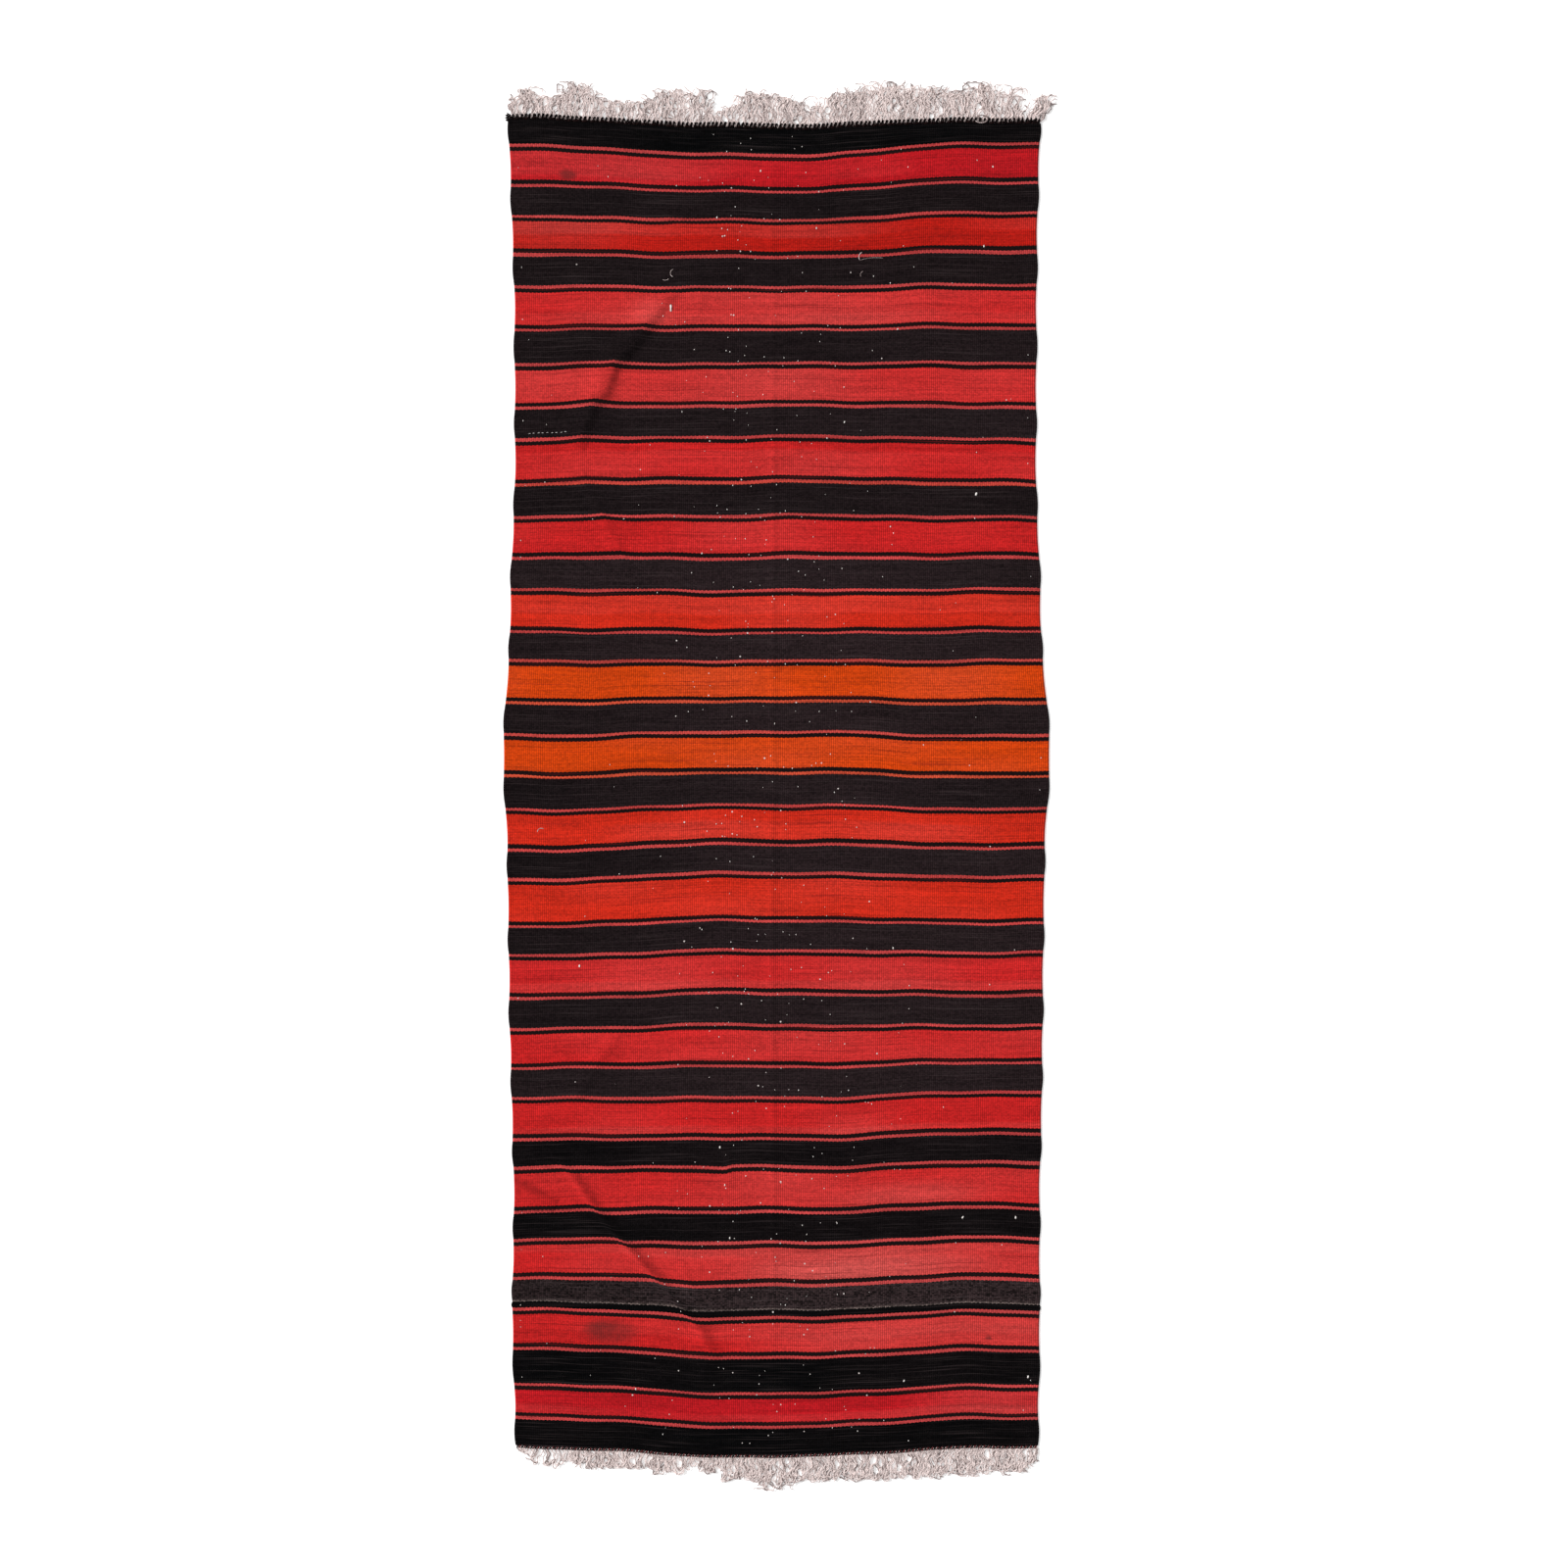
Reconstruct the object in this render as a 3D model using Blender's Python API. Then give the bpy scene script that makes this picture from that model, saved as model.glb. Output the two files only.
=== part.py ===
"""Flat-woven wool runner: plain bands of weft over cotton warps, with a free fringe at both ends.

World frame in metres: X runs across the runner, Y along it, Z up. The overcast end points to +Y.
The origin is the middle of the underside of the whole runner, fringes included.

Every band of weft is a flat sleeve. The cotton warps run through all the sleeves, in side-by-side
groups with a bundle along each selvedge, and come out at both ends as the fringe.
"""

import bpy

# The woven cloth
FIELD_WIDTH = 1.000  # selvedge to selvedge, before the spread that STATIONS adds
CLOTH_THICKNESS = 0.0036  # weft, warps and weft
WARP_THICKNESS = 0.0014
WARP_CLEARANCE = 0.0003  # between the warps and the weft above and below them
SELVEDGE_WALL = 0.0012  # weft turned round the outermost warps
PIECE_GAP = 0.0003  # between pieces that lie side by side

# Bands of weft. A red group is its wide band with a thin red and a thin black line on each side.
DARK_BAND = 0.053
RED_GROUP = 0.083
HEATHER_BAND = 0.044
NARROW_BAND = 0.012
BAND_HEIGHTS = {
    "dark": DARK_BAND,
    "red": RED_GROUP,
    "orange": RED_GROUP,
    "heather": HEATHER_BAND,
    "black": NARROW_BAND,
}

# The bands from the +Y end, each with the millimetres by which the weaver missed its height
WEAVING_ORDER = (
    ("dark", -5), ("red", -9), ("dark", -4), ("red", -8), ("dark", -1), ("red", 2),
    ("dark", 6), ("red", 2), ("dark", 0), ("red", 8), ("dark", 5), ("red", 3),
    ("dark", 3), ("red", 2), ("dark", -5), ("orange", -2), ("dark", 0), ("orange", -1),
    ("dark", 3), ("red", -4), ("dark", -4), ("red", 12), ("dark", -2), ("red", 4),
    ("dark", 1), ("red", 0), ("dark", 1), ("red", 0), ("dark", -6), ("red", 8),
    ("dark", -1), ("red", 3), ("heather", 0), ("black", 0), ("red", -3),
    ("dark", 10), ("red", -15), ("dark", -3),
)  # fmt: skip

# The ends of the woven field
OVERCAST_HEIGHT = 0.008  # row of slanting stitches at the +Y end
TWINED_HEIGHT = 0.005  # row of twisted wefts at the -Y end

# The warps and their fringe
WARP_GROUPS = 12
SELVEDGE_BUNDLE = 0.006  # width of the outermost warps, worked as one
FRINGE_DROP = 0.014  # over which a fringe comes down to the floor
CORNER_LEAN = 0.046  # how far the bundle at the +X +Y corner has fallen outwards
# Reach of the fringe past the woven field, in millimetres, at each border between warp groups
TOP_FRINGE = (35, 55, 50, 50, 65, 45, 70, 55, 85, 70, 60, 65, 60)
BOTTOM_FRINGE = (12, 25, 40, 40, 30, 50, 60, 55, 60, 60, 60, 60, 35)

# How the cloth lies. The middle of every weft is in place. Each station gives its share of the
# length, then in millimetres how far the left and the right selvedge spread past the field's width,
# and how far the left and the right end of a weft sag towards -Y.
STATIONS = (
    (0.00, 3, 3, -17, -10),
    (0.02, 1, 1, -18, -22),
    (0.07, -4, -3, -6, -14),
    (0.13, -9, -5, 0, -4),
    (0.25, -10, -6, 5, 5),
    (0.37, -1, 3, -3, -4),
    (0.47, 12, 20, 7, 7),
    (0.55, 4, 10, 13, 7),
    (0.65, 1, 7, 9, 4),
    (0.74, -4, 5, 0, -11),
    (0.80, -8, 1, 1, -8),
    (0.90, -5, 1, -18, -12),
    (1.00, -11, -2, -17, -17),
)
LEFT_SAG_ENDS = 0.42  # share of the width by which the sag of a weft's left end has died out
RIGHT_SAG_STARTS = 0.55  # and where that of its right end starts
RIGHT_SAG_FULL = 0.90

MM = 0.001
MIDDLE = CLOTH_THICKNESS / 2
SLOT_HEIGHT = WARP_THICKNESS + 2 * WARP_CLEARANCE

# Yarn colours (linear RGB)
YARNS = {
    "dark": (0.0065, 0.0055, 0.0060),
    "red": (0.5200, 0.0170, 0.0230),
    "orange": (0.6100, 0.0620, 0.0060),
    "heather": (0.0450, 0.0340, 0.0340),
    "black": (0.0035, 0.0035, 0.0045),
    "cotton": (0.6400, 0.5500, 0.5450),
    "stitching": (0.0300, 0.0150, 0.0130),
}


def clear_scene():
    for thing in list(bpy.data.objects):
        bpy.data.objects.remove(thing)


def yarn_material(name, roughness):
    """Matte fibre in one of the yarn colours."""
    material = bpy.data.materials.new(name)
    material.use_nodes = True
    shader = material.node_tree.nodes["Principled BSDF"]
    shader.inputs["Base Color"].default_value = (*YARNS[name], 1.0)
    shader.inputs["Roughness"].default_value = roughness
    shader.inputs["Metallic"].default_value = 0.0
    return material


def field_lines():
    """Distances from the +Y end of the field to each line between bands, both ends included."""
    lines = [0.0]
    for kind, missed in WEAVING_ORDER:
        lines.append(lines[-1] + BAND_HEIGHTS[kind] + missed * MM)
    return lines


LINES = field_lines()
FIELD_LENGTH = LINES[-1]


def ease(t):
    """0 below 0, 1 above 1, and smooth between."""
    t = min(max(t, 0.0), 1.0)
    return t * t * (3 - 2 * t)


def station_at(along):
    """The left spread, right spread, left sag and right sag at a distance along the field, in metres."""
    share = min(max(along / FIELD_LENGTH, 0.0), 1.0)
    for before, after in zip(STATIONS, STATIONS[1:]):
        if share <= after[0]:
            break
    mix = ease((share - before[0]) / (after[0] - before[0]))
    return [(a + (b - a) * mix) * MM for a, b in zip(before[1:], after[1:])]


def selvedges(along):
    """X of the left and right selvedge at a distance along the field."""
    left, right, _, _ = station_at(along)
    return -FIELD_WIDTH / 2 - left, FIELD_WIDTH / 2 + right


def weft_y(x, along):
    """Y of the weft laid in at this distance, where it passes x."""
    low, high = selvedges(along)
    _, _, left_sag, right_sag = station_at(along)
    across = (x - low) / (high - low)
    sag = left_sag * ease(1 - across / LEFT_SAG_ENDS)
    sag += right_sag * ease((across - RIGHT_SAG_STARTS) / (RIGHT_SAG_FULL - RIGHT_SAG_STARTS))
    return -along - sag


def mesh_object(name, points, faces, material, parent):
    """A mesh with its origin at the middle of its own length."""
    middle = sum(p[1] for p in points) / len(points)
    mesh = bpy.data.meshes.new(name)
    mesh.from_pydata([(x, y - middle, z) for x, y, z in points], [], faces)
    mesh.materials.append(material)
    thing = bpy.data.objects.new(name, mesh)
    thing.location = (0.0, middle, 0.0)
    thing.parent = parent
    bpy.context.scene.collection.objects.link(thing)
    return thing


def loop_round(along, half_height, inset):
    """Points round the cloth's section at one weft, over the top and back underneath."""
    low, high = selvedges(along)
    runs = WARP_GROUPS
    xs = [low + (high - low) * i / runs for i in range(runs + 1)]
    ys = [weft_y(x, along) for x in xs]
    xs[0] += inset
    xs[-1] -= inset
    over = [(x, y, MIDDLE + half_height) for x, y in zip(xs, ys)]
    under = [(x, y, MIDDLE - half_height) for x, y in zip(xs, ys)]
    return over + under[::-1]


def sleeve(name, start, end, material, parent):
    """A flat sleeve of weft from one distance along the field to another, open for the warps."""
    start += PIECE_GAP / 2
    end -= PIECE_GAP / 2
    outside = CLOTH_THICKNESS / 2
    inside = SLOT_HEIGHT / 2
    loops = [
        loop_round(start, outside, 0.0),
        loop_round(end, outside, 0.0),
        loop_round(end, inside, SELVEDGE_WALL),
        loop_round(start, inside, SELVEDGE_WALL),
    ]
    count = len(loops[0])
    points = [point for loop in loops for point in loop]
    faces = []
    for ring in range(4):
        here, there = ring * count, (ring + 1) % 4 * count
        for i in range(count):
            j = (i + 1) % count
            faces.append((here + i, there + i, there + j, here + j))
    return mesh_object(name, points, faces, material, parent)


def lane_edges(lane, along):
    """X of both sides of a lane of warps. The first and the last lane are the bundles."""
    low, high = selvedges(along)
    low += SELVEDGE_WALL + WARP_CLEARANCE
    high -= SELVEDGE_WALL + WARP_CLEARANCE
    if lane == 0:
        return low, low + SELVEDGE_BUNDLE
    if lane == WARP_GROUPS + 1:
        return high - SELVEDGE_BUNDLE, high
    low += SELVEDGE_BUNDLE + PIECE_GAP
    pitch = (high - SELVEDGE_BUNDLE - low) / WARP_GROUPS
    return low + pitch * (lane - 1), low + pitch * lane - PIECE_GAP


def field_section(lane, along):
    """Four corners of a lane inside the cloth."""
    x0, x1 = lane_edges(lane, along)
    z0, z1 = MIDDLE - WARP_THICKNESS / 2, MIDDLE + WARP_THICKNESS / 2
    y0, y1 = weft_y(x0, along), weft_y(x1, along)
    return [(x0, y0, z0), (x1, y1, z0), (x1, y1, z1), (x0, y0, z1)]


def floor_section(lane, along, reach0, reach1, lean, direction):
    """Four corners of a lane's fringe on the floor, reach0 and reach1 past the field's end."""
    x0, x1 = lane_edges(lane, along)
    y0 = weft_y(x0, along) + direction * reach0
    y1 = weft_y(x1, along) + direction * reach1
    x0, x1 = x0 + lean, x1 + lean
    return [(x0, y0, 0.0), (x1, y1, 0.0), (x1, y1, WARP_THICKNESS), (x0, y0, WARP_THICKNESS)]


def fringe_reach(lane, reaches):
    """How far the two sides of a lane reach past the field, in metres."""
    if lane == 0:
        return reaches[0] * MM, reaches[0] * MM
    if lane == WARP_GROUPS + 1:
        return reaches[-1] * MM, reaches[-1] * MM
    return reaches[lane - 1] * MM, reaches[lane] * MM


def warps(name, lane, material, parent):
    """One lane of warps, from the tips of one fringe to the tips of the other."""
    top0, top1 = fringe_reach(lane, TOP_FRINGE)
    bottom0, bottom1 = fringe_reach(lane, BOTTOM_FRINGE)
    lean = CORNER_LEAN if lane == WARP_GROUPS + 1 else 0.0
    drop_top = OVERCAST_HEIGHT + FRINGE_DROP
    drop_bottom = TWINED_HEIGHT + FRINGE_DROP
    share = drop_top / top1
    sections = [
        floor_section(lane, 0.0, top0, top1, lean, 1),
        floor_section(lane, 0.0, drop_top, drop_top, lean * share * share, 1),
        field_section(lane, -OVERCAST_HEIGHT),
    ]
    sections += [field_section(lane, line) for line in LINES]
    sections.append(field_section(lane, FIELD_LENGTH + TWINED_HEIGHT))
    if min(bottom0, bottom1) > drop_bottom:
        sections.append(floor_section(lane, FIELD_LENGTH, drop_bottom, drop_bottom, 0.0, -1))
    sections.append(floor_section(lane, FIELD_LENGTH, bottom0, bottom1, 0.0, -1))
    points = [point for section in sections for point in section]
    faces = [(3, 2, 1, 0)]
    for k in range(len(sections) - 1):
        here = 4 * k
        for i in range(4):
            j = (i + 1) % 4
            faces.append((here + i, here + j, here + 4 + j, here + 4 + i))
    last = 4 * (len(sections) - 1)
    faces.append((last, last + 1, last + 2, last + 3))
    return mesh_object(name, points, faces, material, parent)


def weft_bands(parent, materials):
    for i, (kind, _) in enumerate(WEAVING_ORDER):
        sleeve(f"weft_{i + 1:02d}_{kind}", LINES[i], LINES[i + 1], materials[kind], parent)


def end_finishes(parent, materials):
    sleeve("overcast_edge", -OVERCAST_HEIGHT, 0.0, materials["stitching"], parent)
    end = FIELD_LENGTH + TWINED_HEIGHT
    sleeve("twined_edge", FIELD_LENGTH, end, materials["stitching"], parent)


def all_warps(parent, materials):
    warps("selvedge_warps_left", 0, materials["cotton"], parent)
    for group in range(1, WARP_GROUPS + 1):
        warps(f"warps_{group:02d}", group, materials["cotton"], parent)
    warps("selvedge_warps_right", WARP_GROUPS + 1, materials["cotton"], parent)


def put_origin_under_middle(runner):
    """Moves the runner so that the middle of its underside is the world's origin."""
    bpy.context.view_layer.update()
    corners = [
        part.matrix_world @ vertex.co for part in runner.children for vertex in part.data.vertices
    ]
    for axis in (0, 1):
        low = min(corner[axis] for corner in corners)
        high = max(corner[axis] for corner in corners)
        runner.location[axis] -= (low + high) / 2
    runner.location[2] -= min(corner[2] for corner in corners)


def build():
    clear_scene()
    runner = bpy.data.objects.new("runner", None)
    bpy.context.scene.collection.objects.link(runner)
    materials = {name: yarn_material(name, 0.9) for name in YARNS}
    weft_bands(runner, materials)
    end_finishes(runner, materials)
    all_warps(runner, materials)
    put_origin_under_middle(runner)


build()
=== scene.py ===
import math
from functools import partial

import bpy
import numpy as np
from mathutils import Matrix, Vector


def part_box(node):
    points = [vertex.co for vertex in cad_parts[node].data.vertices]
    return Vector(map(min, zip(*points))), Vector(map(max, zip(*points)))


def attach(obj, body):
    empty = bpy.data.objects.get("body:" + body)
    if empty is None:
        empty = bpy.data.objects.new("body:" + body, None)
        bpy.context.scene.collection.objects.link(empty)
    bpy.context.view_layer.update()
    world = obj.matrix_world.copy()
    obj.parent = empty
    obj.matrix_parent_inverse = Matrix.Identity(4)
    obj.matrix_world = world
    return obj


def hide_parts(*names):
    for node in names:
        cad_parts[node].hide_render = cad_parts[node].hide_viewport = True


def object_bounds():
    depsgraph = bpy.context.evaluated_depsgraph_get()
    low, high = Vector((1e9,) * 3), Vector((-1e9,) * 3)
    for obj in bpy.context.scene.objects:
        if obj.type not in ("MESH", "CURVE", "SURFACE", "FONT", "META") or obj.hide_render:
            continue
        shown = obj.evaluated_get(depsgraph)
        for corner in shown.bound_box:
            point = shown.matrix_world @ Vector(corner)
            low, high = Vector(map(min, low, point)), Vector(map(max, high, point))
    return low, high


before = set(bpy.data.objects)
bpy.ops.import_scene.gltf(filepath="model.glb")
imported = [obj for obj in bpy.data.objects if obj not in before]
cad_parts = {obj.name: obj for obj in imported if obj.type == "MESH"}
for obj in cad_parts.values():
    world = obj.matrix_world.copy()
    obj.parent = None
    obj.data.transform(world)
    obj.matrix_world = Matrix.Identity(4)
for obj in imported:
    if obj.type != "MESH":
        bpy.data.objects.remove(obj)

# Flat-woven wool runner, laid out on a plain floor.
#
# Thirty-eight bands of packed wool weft hide 256 cotton warps. The warps come out at both ends as a
# kinked fringe. A row of slanting stitches holds the last wefts at the +Y end, and a twined row holds
# them at the -Y end. The borders, the edges and the fringe's general outline come from the CAD nodes.
#
# Cloth coordinates are millimetres: across from the left selvedge (0 to 1000, whatever the cloth's
# width is there) and along from the +Y end of the weave.

cad_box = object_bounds()
chance = np.random.default_rng(7)

MM = 0.001
ACROSS = 1000.0  # cloth coordinate of the right selvedge
RIB_COUNT = 256  # one rib over each warp
STEPS_PER_RIB = 4
COLUMNS = RIB_COUNT * STEPS_PER_RIB + 1
SHARES = np.linspace(0.0, 1.0, COLUMNS)
EDGE_ROUND = 2.0 * MM  # how far the turned weft stands out past the outermost rib
CLOTH_HALF = 1.75 * MM  # half the cloth's thickness, without the relief of its ribs
CLOTH_MIDDLE = 2.4 * MM  # height of the warps over the floor where the cloth lies flat
RIB_RELIEF = 0.36 * MM
TOOTH = 0.45 * MM  # wefts of two colours interlock by this much at a border
LINE_WANDER = 0.3  # mm that the thin lines stray, in each of four slow waves
# The dark yarn is stiffer, so its bands stand out at the selvedges and the red ones draw in
SELVEDGE_BULGE = {"dark": 2.0 * MM, "red": -1.2 * MM}
ROW_STEP = 8.0  # mm between rows of the mesh
CREASED_ROW_STEP = 4.0
WIDE_BAND = 2.0  # values of the colour line, which the weft material reads
PLAIN_BAND = 9.0

BANDS = sorted(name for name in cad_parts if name.startswith("weft_"))

# Dye of each band from the +Y end. A red group gives its dye lot and how far it has faded at the left,
# the middle and the right. A dark band gives how worn, and so how brown, it is at the same places.
DYE_LOTS = {
    "crimson": "BE171F",
    "russet": "BA1A10",
    "madder": "C82121",
    "brick": "CF2A16",
    "orange": "D24206",
}
FADED = "DB6C66"  # madder that has lost its depth
FRESH_DARK = "030304"
WORN_DARK = "291E20"
HEATHER = "2F2425"
PALE_FLEECE = "8B7B76"
LAST_HEATHER_MM = 3.0  # the heather band ends with a few picks of pale grey yarn

# The thin red lines come from a duller bath. Three of them were woven with what was on the shuttle.
THIN_RED = "C03537"
OTHER_THIN_LINES = {(9, 1): "D03C20", (15, 1): "D2470C", (17, 1): "D2470C"}
THIN_LINE_MM = np.array([5.4, 7.6, 7.6, 5.4])  # red, black, black, red
BAND_DYES = (
    (0.10, 0.00, 0.05), ("crimson", 0.12, 0.02, -0.10),
    (0.45, 0.40, 0.35), ("russet", 0.06, -0.02, -0.08),
    (0.40, 0.45, 0.45), ("madder", 0.00, 0.14, 0.02),
    (0.40, 0.50, 0.60), ("madder", 0.12, 0.18, 0.06),
    (0.45, 0.60, 0.70), ("madder", 0.00, 0.06, 0.00),
    (0.42, 0.50, 0.45), ("madder", -0.02, 0.06, -0.04),
    (0.72, 0.90, 0.70), ("brick", 0.00, 0.05, 0.00),
    (0.60, 0.95, 0.80), ("orange", 0.00, 0.03, 0.02),
    (0.45, 0.85, 0.65), ("orange", -0.02, 0.04, 0.00),
    (0.35, 0.75, 0.55), ("brick", -0.03, 0.04, -0.02),
    (0.25, 0.80, 0.75), ("brick", 0.00, 0.04, 0.00),
    (0.40, 0.75, 0.80), ("madder", 0.08, 0.10, 0.08),
    (0.40, 0.75, 0.65), ("madder", 0.00, 0.10, 0.06),
    (0.60, 0.80, 0.75), ("madder", 0.02, 0.04, 0.02),
    (0.12, 0.22, 0.20), ("madder", 0.00, 0.12, 0.04),
    (0.05, 0.16, 0.14), ("madder", 0.00, 0.18, 0.10),
    (0.00, 0.60, 0.80), (0.00, 0.05, 0.05), ("madder", -0.08, 0.10, 0.14),
    (0.05, 0.04, 0.12), ("crimson", 0.00, 0.00, 0.16),
    (0.05, 0.02, 0.06),
)

# Some wide red bands start with one ball of yarn and end with another: how far down the band the
# change comes, and how much paler the yarn is above and below it
BALL_CHANGES = {
    1: (0.70, 0.03, -0.05), 3: (0.46, 0.11, -0.02), 5: (0.62, 0.04, 0.10), 9: (0.30, -0.06, 0.04),
    13: (0.55, 0.05, -0.03), 19: (0.40, -0.04, 0.05), 23: (0.66, -0.02, 0.08), 27: (0.70, -0.03, 0.09),
    31: (0.34, 0.08, 0.00), 34: (0.55, 0.05, -0.02), 36: (0.60, -0.04, 0.06),
}

# Where sun and feet have faded the dye: across, along, half-width, half-length, amount
FADED_PATCHES = (
    (690, 2160, 210, 34, 0.34),
    (760, 2025, 130, 26, 0.20),
    (800, 2290, 200, 30, 0.10),
    (640, 1900, 60, 30, 0.08),
    (260, 350, 40, 26, 0.14),
)
# Spills that have soaked in: the same five values
STAINS = (
    (107, 98, 17, 10, 0.55),
    (184, 2284, 52, 24, 0.44),
    (164, 2278, 28, 16, 0.18),
    (905, 2296, 6, 4, 0.70),
)

# Creases left by folding. Path across and along, height of the ridge, width of its left and right
# flank, how far it pushes the wefts towards +Y, and how far the wefts step down across it.
CREASES = (
    (((308, 306), (254, 372), (223, 415), (189, 448), (169, 504), (148, 526), (115, 620)),
     11.0, 26, 14, 3.6, 0.0),
    (((118, 640), (144, 695), (180, 760), (226, 852)), 4.6, 16, 11, 2.6, 0.0),
    (((58, 1920), (104, 1976), (155, 2048), (212, 2115), (252, 2160), (285, 2192), (340, 2250),
      (392, 2325)), 11.0, 7, 14, 0.0, 3.4),
    (((-30, 1980), (20, 2010), (80, 2040)), 8.0, 20, 14, 0.0, 0.8),
    (((236, 1640), (300, 1636), (380, 1620), (470, 1588)), 4.4, 11, 20, 0.0, 1.0),
    (((262, 1664), (350, 1656), (470, 1630)), 3.6, 10, 18, 0.0, 0.8),
    (((214, 1698), (160, 1770), (108, 1850)), 4.6, 18, 12, 0.8, 0.0),
    (((372, 2216), (358, 2290), (384, 2360)), 5.2, 20, 14, 0.0, 0.6),
    (((330, 256), (352, 314), (346, 374)), 3.4, 26, 16, 0.6, 0.0),
    (((640, 40), (600, 130), (560, 160)), 2.4, 30, 24, 0.8, 0.0),
    (((494, -40), (496, 700), (492, 1500), (495, 2540)), 2.2, 9, 7, 0.0, 0.0),
    (((404, 1925), (409, 1973), (414, 2012)), 1.6, 9, 8, 0.0, -2.2),
    (((316, 2146), (340, 2190), (352, 2236)), 3.8, 14, 9, 0.0, 0.6),
    (((262, 150), (350, 208), (440, 236)), 1.2, 16, 16, 2.0, 0.0),
    (((560, 1120), (640, 1160), (700, 1236)), 1.0, 16, 16, 1.2, 0.0),
)
CREASE_LIMIT = 8.2  # mm; a ridge leans over rather than stand taller than this
DEEP_CREASE = 7.0  # mm; a crease this tall gets painted shade on its right flank, the side away from the lamp
PUSH_REACH = 16.0  # mm; how far off a crease still pushes the wefts
STEP_WIDTH = 7.0  # mm that a step of the wefts takes, and how far off it has died away
STEP_REACH = 75.0
CREASE_SHADE_DEPTH = 0.34  # how much the painted shade darkens the wool there

# Slow rise and fall of cloth that has lain folded: millimetres per radian across and along, and phase
SWELLS = ((62, 210, 0.4), (-85, 74, 1.9), (150, -96, 3.3), (41, 330, 5.1), (-230, 51, 2.2))
SWELL_HEIGHT = 0.26 * MM
SWELL_EDGE = 70.0  # mm from a selvedge over which the swell dies away
SWELL_LIMIT = 6.0 * MM  # a crease this tall leaves no swell
# Slow waver of the wefts, which were beaten in by hand: the same three values, and millimetres
WAVERS = ((33, 190, 0.9, 0.80), (-54, 260, 2.6, 0.95), (18, -120, 4.4, 0.42), (91, 340, 5.3, 0.80))


def linear(hex_colour):
    """An sRGB hex colour as linear red, green and blue."""
    channels = [int(hex_colour[i : i + 2], 16) / 255 for i in (0, 2, 4)]
    return np.array([c / 12.92 if c < 0.04045 else ((c + 0.055) / 1.055) ** 2.4 for c in channels])


def ease(t):
    """0 below 0, 1 above 1, and smooth between."""
    t = np.clip(t, 0.0, 1.0)
    return t * t * (3 - 2 * t)


def hermite(t, start, end, slope_start, slope_end):
    """A cubic from start to end with these slopes, t from 0 to 1."""
    t2, t3 = t * t, t * t * t
    curve = (2 * t3 - 3 * t2 + 1) * start + (3 * t2 - 2 * t3) * end
    return curve + (t3 - 2 * t2 + t) * slope_start + (t3 - t2) * slope_end


def smooth_curve(x, knots, values):
    """A smooth curve through values at uneven knots, read at x."""
    slopes = np.gradient(values, knots)
    i = np.clip(np.searchsorted(knots, x) - 1, 0, len(knots) - 2)
    gap = knots[i + 1] - knots[i]
    t = np.clip((x - knots[i]) / gap, 0.0, 1.0)
    return hermite(t, values[i], values[i + 1], slopes[i] * gap, slopes[i + 1] * gap)


def face_corners(node, end, keep):
    """X and Y of the corners of a node's faces that look to +Y (end 1) or -Y (end -1)."""
    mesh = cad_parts[node].data
    found = {}
    for face in mesh.polygons:
        if face.normal.y * end < 0.5:
            continue
        for corner in face.vertices:
            x, y, z = mesh.vertices[corner].co
            if keep(x, y, z):
                found[round(x, 4)] = y
    return np.array(sorted(found.items())).T


def border(node, end):
    """One border of a woven band, from selvedge to selvedge, along its upper edge."""
    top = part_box(node)[1].z
    return face_corners(node, end, lambda x, y, z: z > top - 0.1 * MM)


def cloth_lines():
    """X and Y of every line between two bands, and of both ends of the weave."""
    all_x, all_y = [], []
    for k in range(len(BANDS) + 1):
        meeting = []
        if k < len(BANDS):
            meeting.append(border(BANDS[k], 1))
        if k > 0:
            meeting.append(border(BANDS[k - 1], -1))
        left = np.mean([xs[0] for xs, _ in meeting]) + EDGE_ROUND
        right = np.mean([xs[-1] for xs, _ in meeting]) - EDGE_ROUND
        x = left + (right - left) * SHARES
        all_x.append(x)
        all_y.append(np.mean([smooth_curve(x, xs, ys) for xs, ys in meeting], axis=0))
    return np.array(all_x), np.array(all_y)


LINE_X, LINE_Y = cloth_lines()
ALONG = LINE_Y[0].mean() - LINE_Y.mean(axis=1)  # metres from the +Y end to each line
LINE_ALONG = ALONG / MM
SLOPE_X = np.gradient(LINE_X, ALONG, axis=0)
SLOPE_Y = np.gradient(LINE_Y, ALONG, axis=0)


def beside(across, along, path):
    """Millimetres from a crease's path, positive to its right, and the share of the path there."""
    best = np.full(across.shape, 1e9)
    side = np.zeros(across.shape)
    share = np.zeros(across.shape)
    path = np.array(path, float)
    lengths = np.hypot(*np.diff(path, axis=0).T)
    done = 0.0
    for (ax, ay), (bx, by), length in zip(path, path[1:], lengths):
        dx, dy = (bx - ax) / length, (by - ay) / length
        t = np.clip((across - ax) * dx + (along - ay) * dy, 0.0, length)
        off = np.hypot(across - ax - t * dx, along - ay - t * dy)
        turn = np.sign(dy * (across - ax) - dx * (along - ay))
        nearer = off < best
        best = np.where(nearer, off, best)
        side = np.where(nearer, turn, side)
        share = np.where(nearer, (done + t) / lengths.sum(), share)
        done += length
    return best * side, share


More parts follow.
